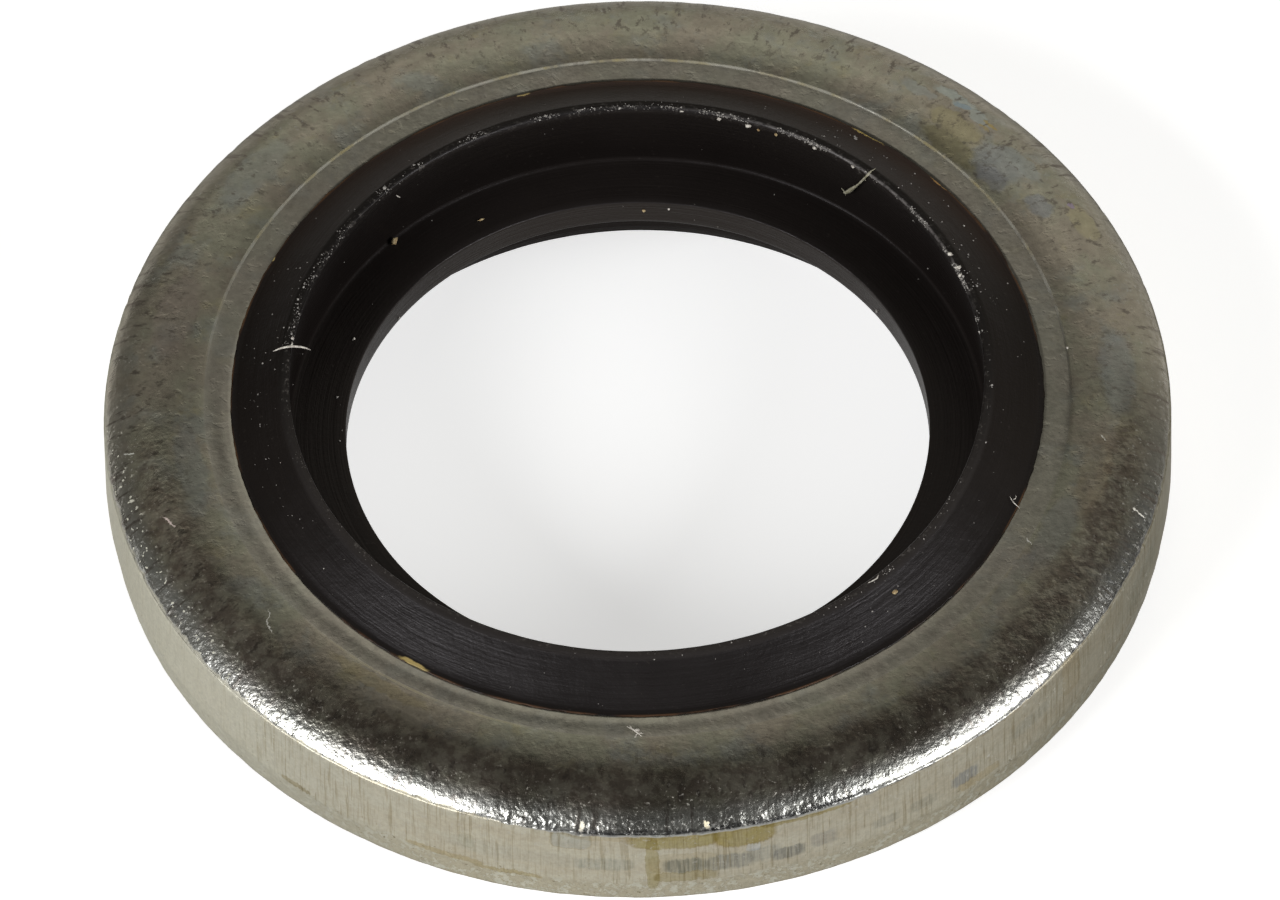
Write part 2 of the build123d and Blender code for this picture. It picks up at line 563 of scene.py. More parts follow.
# Scuffs on the wall, made of upright strokes: the same columns
SCUFFS = [
    (-14, 1.38, 1.1, 0.16, 0.45, (0.82, 0.85, 0.88)),
    (-4.3, 1.36, 0.42, 0.14, 0.8, (0.74, 0.78, 0.8)),
    (4.1, 1.3, 0.32, 0.15, 1, (0.52, 0.56, 0.6)),
    (8.8, 1.28, 0.34, 0.18, 0.95, (0.58, 0.61, 0.66)),
    (12.8, 1.34, 0.24, 0.16, 0.7, (0.66, 0.69, 0.74)),
    (15.4, 1.24, 0.24, 0.14, 1, (0.54, 0.56, 0.6)),
    (19.4, 1.36, 0.2, 0.16, 0.65, (0.66, 0.68, 0.76)),
    (26.6, 1.22, 0.2, 0.11, 0.6, (0.68, 0.7, 0.72)),
    (31.2, 1.24, 0.26, 0.12, 0.6, (0.66, 0.69, 0.7)),
    (36.6, 1.32, 0.24, 0.15, 0.9, (0.6, 0.64, 0.76)),
    (46, 1.52, 0.4, 0.14, 0.5, (0.76, 0.79, 0.82)),
    (70, 1.4, 0.6, 0.3, 0.5, (0.8, 0.84, 0.86)),
    (112, 1.35, 0.5, 0.18, 0.7, (0.66, 0.69, 0.74)),
    (140, 1.45, 0.4, 0.16, 0.8, (0.6, 0.63, 0.68)),
    (166, 1.4, 0.6, 0.15, 0.6, (0.66, 0.7, 0.74)),
    (-168, 1.5, 0.4, 0.18, 0.7, (0.64, 0.67, 0.72)),
    (-138, 1.4, 0.5, 0.15, 0.6, (0.7, 0.73, 0.78)),
]


def face_clouds(s):
    """The plate's own colour on the face: olive, brown and grey clouds."""
    clouds = s.noise(1.1, 4, 0.65)
    color = s.mix(s.ramp(clouds, 0.36, 0.62), (0.338, 0.336, 0.272), (0.347, 0.314, 0.266))
    greys = s.noise(0.8, 4, 0.65, seed=21)
    yellows = s.noise(0.5, 4, 0.65, seed=33)
    return s.over(
        color,
        (s.ramp(greys, 0.5, 0.66, 0, 0.6), (0.301, 0.317, 0.31)),
        (s.ramp(yellows, 0.56, 0.72, 0, 0.5), (0.371, 0.34, 0.226)),
        (s.ramp(s.radius, LAND + 0.02, LAND, 0, 0.6), (0.362, 0.347, 0.317)),
    )


def stained(s, color):
    """The face with its stains, each in a broken dark rim."""
    broken = s.ramp(s.noise(0.14, 3, seed=41), 0.52, 0.62, 0, 0.8)
    for angle, radius, long, wide, strength, stain in FACE_STAINS:
        away = s.away((angle, radius, TOP_FACE), (long, wide, 1))
        inside = s.both((away, 1.2, 0.8), strength)
        rim = s.both(s.band(away, 1.05, 0.16), broken, strength)
        color = s.over(color, (inside, stain), (rim, (0.15, 0.135, 0.115)))
    return color


def painted_face_shading(s, in_front):
    """Where light and shade are painted onto the face and the roll-over, darker or paler, and by
    what factor.
    """
    behind = s.both((s.along, 0.5, 4), (s.across, 5.5, -2, 0.25, 1))
    beyond = s.both((s.along, 0.3, 1.8), (s.along, 7.2, 5.8))
    near_left = s.both(s.band(s.across, -5, 2.2), (s.along, -2, -4))
    far_left = s.both((s.across, -4.4, -6.2), s.band(s.along, -1, 4.5))
    far_right = s.both((s.across, 5, 6.4), s.band(s.along, -1.6, 3.4))
    return [
        (s.both(s.band(s.inset, 0.32, 0.3), behind), 0.72),
        (s.both((s.inset, 0.26, 0.12), beyond), 0.8),
        (s.both(s.band(s.inset, 1.06, 0.5), (s.along, 0.5, 3.5)), 1.24),
        (s.both((s.across, 2, 4.8), (s.along, 1.5, -0.5)), 0.86),
        (s.both(s.band(s.inset, 0.8, 0.4), near_left), 1.3),
        (s.both((s.inset, 0.85, 1.2), in_front), 1.18),
        (s.both(s.band(s.inset, 0.7, 0.55), far_left), 1.45),
        (s.both((s.inset, 0.95, 0.6), far_right), 0.6),
    ]


def face_color(s):
    """The plate on the face and the roll-over: clouds, a warm brown painted in front as the tint of
    its dark reflection, stains, smuts, and painted light and shade.
    """
    in_front = s.ramp(s.along, 1, -3)
    on_roll = s.ramp(s.inset, 0.5, 0.15)
    # painted reflection tint: in front the roll-over and its inner band are made warmer brown, as
    # the dark room they mirror
    browned = s.both(s.band(s.inset, 0.62, 0.5), in_front)
    roll_color = s.mix(in_front, (0.366, 0.338, 0.286), (0.33, 0.335, 0.325))
    rolled = (s.both(on_roll, 0.8), roll_color)
    painted_warm_tint = (s.both(browned, 0.9), (0.362, 0.33, 0.296))
    color = stained(s, s.over(face_clouds(s), rolled, painted_warm_tint))
    color = s.dimmed(color, s.ramp(s.noise(0.17, 4, 0.65), 0.3, 0.7, 0.9, 1.1))
    smuts = s.ramp(s.noise(0.24, 3, 0.65, seed=51), 0.4, 0.6)
    smutty = s.mix(smuts, (0.7, 0.64, 0.6), (1.24, 1.25, 1.16))
    color = s.tint(s.ramp(s.both(browned, 1.6), 0, 1, 0.1, 0.85), color, smutty)
    # painted light and shade, one zone at a time
    for where, factor in painted_face_shading(s, in_front):
        color = s.dimmed(color, s.toward(factor, where))
    return color


def scratched(s, face, on_face):
    """The face with its pits and scratches, and a mask of the scratched spots, two of them painted
    highlights.
    """
    pits = s.ramp(s.turned_noise(0.11, 0.16, 3, 0.7), 0.54, 0.68)
    pit_share = s.ramp(s.radius, LAND - 0.1, RIM - 0.5, 0.2, 0.8)
    face = s.mix(s.both(pits, pit_share), face, (0.15, 0.13, 0.115))
    bared_and_highlit = 0
    for angle, radius, long, wide, tilt, scratch in SCRATCHES:
        mark = s.patch((angle, radius, TOP_FACE), (long, wide, 1), 0.4, tilt)
        here = s.both(mark, on_face)
        face = s.mix(here, face, scratch)
        bared_and_highlit = s.most(bared_and_highlit, here)
    return face, bared_and_highlit


def wall_plate(s, torn):
    """The plate's own colour on the wall: cream, smeared round it, with a torn foot."""
    smears = s.turned_noise(0.9, 0.3, 4, 0.6)
    color = s.mix(s.ramp(smears, 0.35, 0.65), (0.425, 0.402, 0.325), (0.4, 0.368, 0.288))
    rubble = s.noise(0.14, 5, 0.75, seed=3)
    foot = s.mix(s.ramp(rubble, 0.36, 0.58), (0.47, 0.46, 0.388), (0.395, 0.365, 0.28))
    foot = s.mix(s.both(s.band(rubble, 0.5, 0.035), 0.5), foot, (0.21, 0.175, 0.1))
    cooler = s.ramp(s.across, -2.5, -6.5, 0, 0.7)
    return s.mix(cooler, s.mix(torn, color, foot), (0.44, 0.433, 0.372))


def marked(s, color, fine):
    """The wall with its water marks, each in a tide line, and its scuffs of upright strokes."""
    s.tear(0.34, 0.034)
    s.fray(0.05, 0.03)
    uneven = s.ramp(s.noise(0.25, 4, 0.7, seed=15), 0.35, 0.65, 0.78, 1)
    for angle, height, long, tall, strength, tint in WATER_MARKS:
        away = s.away((angle, RIM, height), (long, 1, tall), squarer=True)
        color = s.tint(s.both((away, 1.06, 0.92), uneven, strength), color, tint)
        tide = s.both(s.band(away, 0.99, 0.1), uneven, strength * 0.5)
        color = s.tint(tide, color, (0.72, 0.64, 0.46))
    strokes = s.ramp(fine, 0.4, 0.56, 0.55, 1)
    for angle, height, long, tall, strength, tint in SCUFFS:
        away = s.away((angle, RIM, height), (long, 1, tall), squarer=True)
        color = s.tint(s.both((away, 1.2, 0.8), strokes, strength), color, tint)
    return color


def drawn_lines(s, torn, fine):
    """How strongly the wall's upright lines show."""
    drawn = s.ramp(s.noise((0.8, 0.8, 2.5), seed=5), 0.36, 0.54, 0.6, 1)
    streaked = s.total(s.band(s.across, 4.2, 1.5), s.band(s.across, -0.7, 0.9))
    drawn = s.most(drawn, s.both(streaked, 0.9))
    drawn = s.both(drawn, (s.across, -6.8, -4.6, 0.3, 1), s.less(1, torn))
    bold = s.noise((0.045, 0.045, 1.2), 3, 0.6, seed=7)
    lines = s.total((fine, 0.5, 0.66, 0, 0.6), (bold, 0.56, 0.64, 0, 0.9))
    return s.both(drawn, lines)


def wall_color(s, torn, fine):
    """The plate on the wall, marked, drawn into lines, with painted shade towards the right and
    painted light at the far left.
    """
    color = marked(s, wall_plate(s, torn), fine)
    color = s.tint(drawn_lines(s, torn, fine), color, (0.73, 0.69, 0.61))
    specks = s.ramp(s.noise(0.08, 3, 0.6, seed=12), 0.64, 0.72)
    low = s.ramp(s.height, FRACTURE_TOP + 0.45, FRACTURE_TOP, 0.1, 0.8)
    color = s.mix(s.both(low, specks), color, (0.17, 0.14, 0.08))
    grain = s.ramp(s.noise(0.07, 4, 0.7, seed=4), 0.25, 0.75, 0.9, 1.1)
    # painted shade and light by side: darker to the right, paler at the far left
    painted_wall_shading = s.both(
        (s.across, -2.5, 3, 1, 0.85),
        (s.across, 3, 7.8, 1, 0.8),
        (s.across, -4.4, -7.6, 1, 1.38),
    )
    return s.dimmed(s.dimmed(color, grain), painted_wall_shading)


def plate_zones(s):
    """The wandering level that parts wall from face, and masks of the face and the torn foot."""
    wander = s.ramp(s.across, -1, -3.5, 0.1, 0.22)
    edge = s.both(s.less(s.noise(0.25, 4, 0.65), 0.5), wander)
    spread = s.total(
        (s.across, -0.8, -3),
        (s.across, 3, 4.2, 0, 0.55),
        (s.across, 5.2, 6.2, 0, 0.4),
    )
    level = s.less(s.total(s.height, edge), s.both(spread, 0.085))
    above = s.ramp(level, WALL_TOP - 0.002, WALL_TOP + 0.026)
    under_rim = s.ramp(s.inset, 0.08, 0.13)
    below = s.both((s.height, BOTTOM_FACE + 0.03, BOTTOM_FACE + 0.01), under_rim)
    torn_edge = s.total(s.height, s.both(s.noise(0.4, 4), 0.3))
    torn = s.ramp(torn_edge, FRACTURE_TOP + 0.25, FRACTURE_TOP + 0.05)
    return level, s.most(above, below), torn


def shouldered(s, wall, level, right_of):
    """The wall with a broken line of painted shade along the crease at its top, and painted shade on
    the worn round above it.
    """
    patchy = s.ramp(s.noise(0.5, 4), 0.42, 0.58)
    # painted shade: a broken darker line along the crease
    under = s.both(s.band(level, WALL_TOP - 0.012, 0.014), patchy, right_of, 0.7)
    wall = s.tint(under, wall, (0.6, 0.54, 0.45))
    by_side = s.ramp(s.across, 1, -1, 0.7, 1)
    # painted shade on the worn round above the crease, deeper on the left
    shoulder_shade = s.both(s.band(s.height, WALL_TOP + 0.09, 0.075), by_side)
    return s.dimmed(wall, s.toward(0.7, shoulder_shade))


def edged(s, color, level, on_face, right_of):
    """The plate with a painted dark reflection along the worn edge in front, and a painted highlight
    on its outermost edge at the back.
    """
    wide_dark_band = s.both(s.band(level, WALL_TOP + 0.08, 0.075), right_of, (s.across, 4, 3))
    thin = s.both(s.band(level, WALL_TOP + 0.02, 0.022), (s.across, 3, 4))
    broken = s.ramp(s.noise(0.1, 4, 0.7, seed=14), 0.36, 0.54, 0.2, 1)
    painted_dark_strip = s.both(s.total(wide_dark_band, thin), (s.along, -1, -3), broken)
    # painted reflection: darker along the worn edge in front
    color = s.mix(painted_dark_strip, color, (0.08, 0.08, 0.08))
    # painted highlight: paler on the outermost edge at the back
    painted_far_highlight = s.both((s.inset, 0.045, 0.015), (s.along, 2.5, 6))
    return s.mix(s.both(painted_far_highlight, on_face, 0.8), color, (0.56, 0.51, 0.48))


def step_line(s):
    """The pale line on the clamp step, whole at the back and in one stretch in front."""
    beside = s.math("ABSOLUTE", s.less(s.radius, LAND + STEP_RUN / 2))
    kept = s.both(s.patch((-31, LAND, TOP_FACE), (1.9, 0.6, 1), 0.8), 0.7)
    line = s.both(
        (beside, 0.026, 0.013),
        s.most((s.along, 0.4, 3, 0.05, 1), kept),
        (s.turned_noise(0.35, 3, 4, 0.7), 0.36, 0.6, 0.4, 1),
        (s.height, CREASE, TOP_FACE - 0.1),
    )
    yellowed = s.most((s.noise(0.5, 3), 0.45, 0.6), (s.along, -2, -4))
    return line, s.mix(yellowed, (0.24, 0.232, 0.195), (0.22, 0.19, 0.105))


def painted_glint_masks(s, outer):
    """Masks of glints painted all along the roll-over, and of glints painted as pale specks at its
    left.
    """
    glints = s.both(
        (s.noise(0.055, 3, 0.65, seed=17), 0.59, 0.69),
        outer,
        (s.noise(0.45, seed=18), 0.38, 0.58, 0.15, 1),
    )
    glint_dots = s.both(
        (s.noise(0.07, 1, seed=27), 0.665, 0.71),
        (s.across, -4.6, -5.8),
        (s.inset, 0.42, 0.2),
        (s.along, 1, -1),
    )
    return glints, glint_dots


def plate_normal(s, on_face, torn, outer, beaten, fine):
    """Peel, dents and beaten grain on the face and the roll-over, and lines on the wall."""
    peel = s.noise(0.11, 3, 0.6, seed=2)
    dents = s.ramp(s.noise(0.17, 3, 0.55), 0.58, 0.68)
    pins = s.noise(0.1)
    facets = s.noise(0.13, 1.5, seed=9)
    behind_left = s.both((s.across, -3, -5), (s.along, -1.5, 1))
    calm = s.toward(0.35, behind_left)
    pin_share = s.both(
        (outer, 0, 1, 0.15, 1),
        s.toward(0.75, s.ramp(s.across, -4.6, -5.8)),
        (s.across, 1.5, 3.5, 1, 0.6),
        s.toward(0.55, s.band(s.across, -3, 1.7)),
        calm,
    )
    face = s.bump(peel, 0.008, strength=s.both((outer, 0, 1, 0.28, 1), calm))
    face = s.bump(dents, 0.0012, face, s.ramp(s.along, -5, 0, 0.5, 1))
    face = s.bump(pins, 0.015, face, pin_share)
    at_edge = s.ramp(s.inset, 0.26, 0.06)
    face = s.bump(facets, 0.028, face, s.both(at_edge, beaten, calm))
    wall = s.bump(fine, 0.003, s.bump(peel, 0.006, strength=torn))
    return s.node("Mix", {0: on_face, 4: wall, 5: face}, 1, data_type="VECTOR")


def plate_roughness(s, on_face, outer, beaten, dull):
    """Glossiest along the edge where it isn't beaten, and dull on the scratches, the step line and
    the painted glints.
    """
    rough = s.ramp(s.noise(0.9, 3), 0.3, 0.7, 0.22, 0.29)
    crisper = s.both((s.inset, 0.15, 0.06), s.less(1, beaten), 0.06)
    rough = s.less(s.total(rough, s.both(outer, 0.045)), crisper)
    rough = s.node("Mix", {0: on_face, 2: WALL_ROUGHNESS, 3: rough}, data_type="FLOAT")
    return s.total(rough, s.both(dull, 0.3))


def zinc_plate():
    """Dull zinc plate over tumbled steel, stained on the face and streaked on the wall, with light
    and shade painted into its colour in places.
    """
    s = Shader("zinc_plate")
    s.tear(0.26, 0.075)
    level, on_face, torn = plate_zones(s)
    outer = s.ramp(s.radius, ROLL_START - 0.2, RIM - 0.25)
    right_of = s.ramp(s.across, -2.8, -0.6)
    fine = s.noise((0.035, 0.035, 0.8), 3, 0.65)
    face, bared_and_highlit = scratched(s, face_color(s), on_face)
    wall = shouldered(s, wall_color(s, torn, fine), level, right_of)
    color = edged(s, s.mix(on_face, wall, face), level, on_face, right_of)
    line, line_color = step_line(s)
    glints, glint_dots = painted_glint_masks(s, outer)
    # painted glints: paler, duller spots of colour on the roll-over
    glinting = (s.both(glints, 0.55), (0.52, 0.51, 0.47))
    color = s.over(color, (line, line_color), glinting, (glint_dots, (0.5, 0.49, 0.41)))
    bared_and_highlit = s.most(line, bared_and_highlit, s.both(glint_dots, on_face))
    to_side = s.math("ABSOLUTE", s.across)
    beaten = s.most((to_side, 1.4, 3.2, 1, 0.17), (to_side, 5.6, 6.8, 0, 0.5))
    return s.finish(
        Base_Color=color,
        Metallic=s.less(1, s.both(bared_and_highlit, 0.9)),
        Roughness=plate_roughness(s, on_face, outer, beaten, s.most(bared_and_highlit, glints)),
        Specular_Tint=(0.4, 0.4, 0.39),
        Normal=plate_normal(s, on_face, torn, outer, beaten, fine),
    )


# Flecks of bonding primer at the rubber's border: angle, half length, half width and colour
PRIMER_FLECKS = [
    (-34.1, 0.24, 0.045, (0.34, 0.26, 0.1)),
    (-164.5, 0.1, 0.02, (0.3, 0.23, 0.1)),
    (144.2, 0.26, 0.022, (0.36, 0.27, 0.09)),
    (131, 0.18, 0.016, (0.3, 0.17, 0.06)),
    (-117, 0.05, 0.016, (0.3, 0.23, 0.1)),
]


def rubber_color(s, clouds, grain, powder):
    """Near black, painted browner at the back as its glancing reflection, with a greyer crest,
    powder, primer and a painted highlight along the crest's inner edge.
    """
    color = s.mix(clouds, (0.0048, 0.0038, 0.0035), (0.008, 0.0064, 0.006))
    flecked = s.ramp(grain, 0.66, 0.76, 0, 0.35)
    # painted reflection: the slope at the back is made browner, as it mirrors the warm room at a
    # glance
    painted_back_tint = s.both(
        (s.along, 1, 4.5),
        (s.height, TOP_LAND - 0.03, TOP_LAND),
        (s.radius, LIP_RADIUS + 0.05, CREST_OUTER + 0.04),
        (s.across, -5, -2.5, 0.45, 1),
    )
    outwards = s.ramp(s.radius, CREST_OUTER + 0.27, SLOPE_FOOT - 0.01)
    back_tint_color = s.mix(outwards, (0.0165, 0.0112, 0.0092), (0.026, 0.0165, 0.013))
    on_crest = s.ramp(s.height, CREST - 0.05, CREST - 0.01)
    crest_color = s.mix(s.ramp(s.along, 1, -3), (0.004, 0.0035, 0.0034), (0.023, 0.02, 0.019))
    on_web = s.ramp(s.height, WEB_TOP + 0.06, WEB_TOP + 0.01, 0, 0.4)
    # powder and a painted highlight along the crest's inner edge at the back
    rim_powder_and_highlight = s.both(
        s.band(s.radius, LIP_RADIUS + 0.018, 0.036),
        on_crest,
        (s.along, 0.5, 3),
        (s.across, 0, 3.5, 0.12, 1),
        (s.noise(0.11, 3, 0.7, seed=19), 0.38, 0.58, 0.15, 1),
    )
    browned = s.both(
        (s.radius, BORDER - 0.03, BORDER - 0.005),
        (s.height, TOP_LAND - 0.02, TOP_LAND),
        (s.turned_noise(0.8, 0.3, 4), 0.42, 0.62, 0, 0.8),
    )
    color = s.over(
        color,
        (flecked, (0.055, 0.048, 0.042)),
        (painted_back_tint, back_tint_color),
        (s.both(on_crest, 0.8), crest_color),
        (on_web, (0.013, 0.0105, 0.0095)),
        (powder, (0.12, 0.11, 0.1)),
        (rim_powder_and_highlight, (0.105, 0.097, 0.093)),
        (browned, (0.075, 0.038, 0.018)),
    )
    for angle, long, wide, fleck in PRIMER_FLECKS:
        centre = (angle, BORDER - wide / 2, TOP_LAND)
        color = s.mix(s.patch(centre, (long, wide, 0.1)), color, fleck)
    return color


def rubber_gloss(s):
    """The strength and the tint of the rubber's reflection, both lower at a glancing view."""
    glancing = s.node("LayerWeight", {}, "Facing")
    sheen = s.mix(s.ramp(glancing, 0.1, 0.4), (1, 0.96, 1), (1, 0.8, 0.62))
    cut_edge = s.ramp(s.radius, WEB_RADIUS + 0.03, WEB_RADIUS + 0.01)
    gloss = s.total((glancing, 0.05, 0.4, 0.32, 0.08), s.both(cut_edge, 0.1))
    near_root = s.band(s.height, WEB_TOP + 0.03, 0.05)
    root = s.both(near_root, (s.radius, WEB_RADIUS + 0.5, LIP_RADIUS))
    back_left = s.both((s.across, -1.5, -4), (s.along, 0.5, 2.5))
    return s.both(gloss, s.toward(0.12, root), s.toward(0.72, back_left)), sheen


def moulded_rubber():
    """Black nitrile with mould rings, a browned edge of primer and powder on the crest."""
    s = Shader("moulded_rubber")
    s.surface.inputs["Specular IOR Level"].default_value = EXPORTED_GLOSS
    s.tear(0.12, 0.02)
    clouds = s.noise(1.6, 3, 0.6)
    rings = s.turned_noise(5, 0.035, 3, 0.7)
    grain = s.noise(0.06, 3, 0.6)
    powder = s.both(
        s.band(s.radius, LIP_RADIUS + 0.02, 0.12),
        (s.height, CREST - 0.2, CREST),
        (s.noise(0.09, 4, 0.75), 0.54, 0.72),
        (s.noise(1.5, seed=8), 0.35, 0.6, 0.25, 1),
    )
    gloss, sheen = rubber_gloss(s)
    return s.finish(
        Base_Color=rubber_color(s, clouds, grain, powder),
        Roughness=s.total((clouds, 0.3, 0.7, 0.36, 0.42), s.both(powder, 0.4)),
        Specular_IOR_Level=gloss,
        Specular_Tint=sheen,
        Normal=s.bump(rings, 0.008, s.bump(grain, 0.004)),
    )


def speckled(name, dark, pale, roughness, size):
    """A dull finish that wanders between two colours over a size."""
    s = Shader(name)
    color = s.mix(s.ramp(s.noise(size, 3, 0.6), 0.35, 0.65), dark, pale)
    return s.finish(Base_Color=color, Roughness=roughness)


# --- pieces
def add_ring():
    points, faces = turned(steel_outline(), steel_wobble)
    ring = mesh_piece("zinc_plated_ring", points, faces, zinc_plate())
    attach(ring, "root")
    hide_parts("steel_ring")


def add_seal():
    points, faces = turned(seal_outline(), seal_wobble)
    seal = mesh_piece("moulded_seal", points, faces, moulded_rubber())
    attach(seal, "root")
    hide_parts("rubber_seal")


# Stretches of the seal's upper section, from (radius, height) to (radius, height)
SLOPE = ((SLOPE_FOOT - 0.05, TOP_LAND + 0.03), (CREST_OUTER, CREST))
CREST_FLAT = ((CREST_OUTER, CREST - 0.004), (LIP_RADIUS + 0.01, CREST - 0.004))
CREST_EDGE = ((LIP_RADIUS + 0.045, CREST - 0.004), (LIP_RADIUS + 0.01, CREST - 0.004))
LIP_TOP = ((LIP_RADIUS, CREST - 0.01), (LIP_RADIUS, CREST - 0.05))
LIP_WALL = ((LIP_RADIUS + 0.004, CREST - 0.1), (LIP_ROOT, WEB_TOP + WEB_ROOT))
WEB_FLAT = ((LIP_ROOT - WEB_ROOT, WEB_TOP), (WEB_RADIUS + 0.03, WEB_TOP))
WEB_EDGE = ((WEB_RADIUS, WEB_TOP - 0.03), (WEB_RADIUS, WEB_TOP - WEB_THICKNESS + 0.03))

# Looks of the loose dirt: name, dark and pale colour, roughness and size of the speckles
DUST_LOOK = ("dust", (0.09, 0.083, 0.078), (0.36, 0.34, 0.315), 0.9, 0.03)
SHAVING_LOOK = ("shaving", (0.15, 0.14, 0.085), (0.3, 0.28, 0.22), 0.7, 0.06)
LINT_LOOK = ("lint", (0.32, 0.29, 0.26), (0.6, 0.57, 0.51), 0.8, 0.05)
GRIT_LOOK = ("ochre_grit", (0.2, 0.125, 0.055), (0.42, 0.34, 0.19), 0.85, 0.04)

# Dust: the stretch, the angles that it lies between, how many specks, and their size
DUST = [
    (CREST_FLAT, -180, 180, 300, 0.005),
    (CREST_EDGE, 98, 166, 700, 0.006),
    (LIP_TOP, 98, 166, 900, 0.007),
    (CREST_EDGE, 162, 205, 500, 0.006),
    (LIP_TOP, 160, 205, 300, 0.006),
    (CREST_EDGE, 100, 130, 50, 0.011),
    (CREST_FLAT, -155, -98, 420, 0.006),
    (LIP_TOP, -150, -98, 200, 0.006),
    (CREST_FLAT, 30, 90, 120, 0.006),
    (SLOPE, -180, 180, 170, 0.006),
    (SLOPE, 15, 50, 40, 0.007),
    (SLOPE, 98, 150, 150, 0.01),
    (SLOPE, -118, -62, 90, 0.008),
    (LIP_WALL, 90, 270, 50, 0.008),
    (WEB_FLAT, 60, 300, 30, 0.008),
    (WEB_EDGE, 110, 250, 20, 0.009),
]


def icosahedron():
    """The corners and the outward triangles of a ball of 20 faces."""
    golden = (1 + sqrt(5)) / 2
    reach = 2.01  # just over the length of an edge
    corners = []
    for a, b in ((1, golden), (-1, golden), (1, -golden), (-1, -golden)):
        corners += [Vector((0, a, b)), Vector((a, b, 0)), Vector((b, 0, a))]
    faces = []
    for i, j, k in itertools.combinations(range(len(corners)), 3):
        first, second, third = corners[i], corners[j], corners[k]
        if max((first - second).length, (second - third).length, (third - first).length) < reach:
            outwards = (second - first).cross(third - first).dot(first) > 0
            faces.append((i, j, k) if outwards else (i, k, j))
    return [corner.normalized() for corner in corners], faces


BALL, BALL_FACES = icosahedron()


def pebble(chance, centre, size, squash=(1, 1, 1)):
    """The corners of an uneven pebble, size across."""
    stretch = Vector(squash) * size
    return [centre + corner * stretch * chance.uniform(0.6, 1.3) for corner in BALL]


def joined(parts):
    """One list of points and one of faces from several."""
    points, faces = [], []
    for more_points, more_faces in parts:
        base = len(points)
        points += more_points
        faces += [tuple(base + corner for corner in face) for face in more_faces]
    return points, faces


def add_loose(name, parts, look):
    """One piece of dirt out of many parts, with a speckled look."""
    piece = mesh_piece(name, *joined(parts), speckled(*look))
    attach(piece, "root")


def add_dust():
    chance = random.Random(4)
    specks = []
    for (start, end), from_angle, to_angle, count, size in DUST:
        for _ in range(count):
            share = chance.random()
            radius = start[0] + (end[0] - start[0]) * share
            height = start[1] + (end[1] - start[1]) * share
            centre = spot(chance.uniform(from_angle, to_angle), radius, height)
            if fractal(centre, 0.35, 3) < chance.uniform(-0.25, 0.3):
                continue
            size_here = size * exp(chance.gauss(0, 0.5))
            specks.append((pebble(chance, centre, size_here), BALL_FACES))
    add_loose("dust_specks", specks, DUST_LOOK)


# Lint and shavings: thickness, then angle, radius and height of the points on their way
LINT = [
    (0.02, (-97.1, 5.44, 2.87), (-97.3, 5.32, 2.94), (-97.6, 5.16, 2.97), (-97.9, 5, 2.94),
     (-98, 4.88, 2.88)),
    (0.01, (-97.4, 5.22, 2.95), (-98, 5.16, 2.97), (-98.8, 5.17, 2.95)),
    (0.007, (68.9, 5.88, 2.59), (68.4, 5.95, 2.55), (68.1, 6.02, 2.53), (67.8, 6.09, 2.52)),
    (0.005, (68.5, 5.94, 2.56), (69.1, 5.97, 2.56), (69.5, 5.96, 2.57)),
    (0.014, (-137.6, 5.15, 2.58), (-137, 5.14, 2.66), (-136.6, 5.15, 2.72)),
    (0.012, (-2.3, 6.24, 2.5), (-1.6, 6.29, 2.512), (-0.9, 6.36, 2.512), (-0.2, 6.43, 2.5)),
    (0.01, (-1.9, 6.22, 2.5), (-1.3, 6.31, 2.51), (-0.5, 6.33, 2.5)),
    (0.009, (-1.2, 6.46, 2.5), (-0.8, 6.38, 2.51), (0, 6.37, 2.5)),
    (0.009, (40, 5.21, 2.95), (41.6, 5.24, 2.96), (42.5, 5.2, 2.95)),
]
# The torn shaving that hangs over the lip: the same columns
SHAVING = [
    (0.048, (142.2, 5.13, 2.19), (141, 5.1, 2.31), (140, 5.09, 2.46), (138.6, 5.11, 2.66)),
    (0.026, (140.2, 5.1, 2.42), (138.9, 5.1, 2.62), (137.9, 5.12, 2.79), (137.2, 5.16, 2.93),
     (137.2, 5.26, 2.95)),
    (0.014, (142.6, 5.12, 2.28), (141.9, 5.12, 2.24), (141.6, 5.12, 2.16)),
    (0.01, (137.8, 5.13, 2.84), (137.3, 5.13, 2.8)),
    (0.008, (137.2, 5.2, 2.95), (137, 5.32, 2.95)),
]
# Loose grit: angle, radius, height, half sizes across, along and up, and whether it is brown
GRIT = [
    (-135.4, 5.1, 1.76, 0.085, 0.05, 0.055, True),
    (-113.4, 4.58, 1.71, 0.03, 0.026, 0.018, False),
    (-150.6, 4.65, 1.71, 0.06, 0.022, 0.015, True),
    (178, 4.335, 1.5, 0.03, 0.02, 0.03, True),
    (173, 4.335, 1.56, 0.026, 0.02, 0.024, False),
    (115.3, 5.19, 2.94, 0.05, 0.04, 0.03, False),
    (112.2, 5.2, 2.94, 0.04, 0.06, 0.025, False),
    (110.6, 5.17, 2.93, 0.035, 0.035, 0.025, False),
    (42.9, 5.5, 2.79, 0.06, 0.052, 0.02, True),
    (-99.5, 5.18, 2.95, 0.03, 0.025, 0.02, False),
    (171.6, 5.16, 2.89, 0.034, 0.02, 0.02, False),
    (165.4, 5.15, 2.84, 0.046, 0.03, 0.03, False),
    (160.2, 5.15, 2.83, 0.05, 0.035, 0.036, False),
    (158.5, 5.15, 2.8, 0.026, 0.022, 0.022, True),
    (155.3, 5.15, 2.82, 0.032, 0.025, 0.03, True),
    (148.1, 5.15, 2.86, 0.04, 0.028, 0.03, False),
    (140.4, 5.15, 2.9, 0.04, 0.026, 0.026, False),
    (-0.9, 6.31, 2.51, 0.05, 0.03, 0.012, False),
    (96.6, 6.45, 2.51, 0.025, 0.025, 0.012, False),
]
STRAND_SIDES = 6


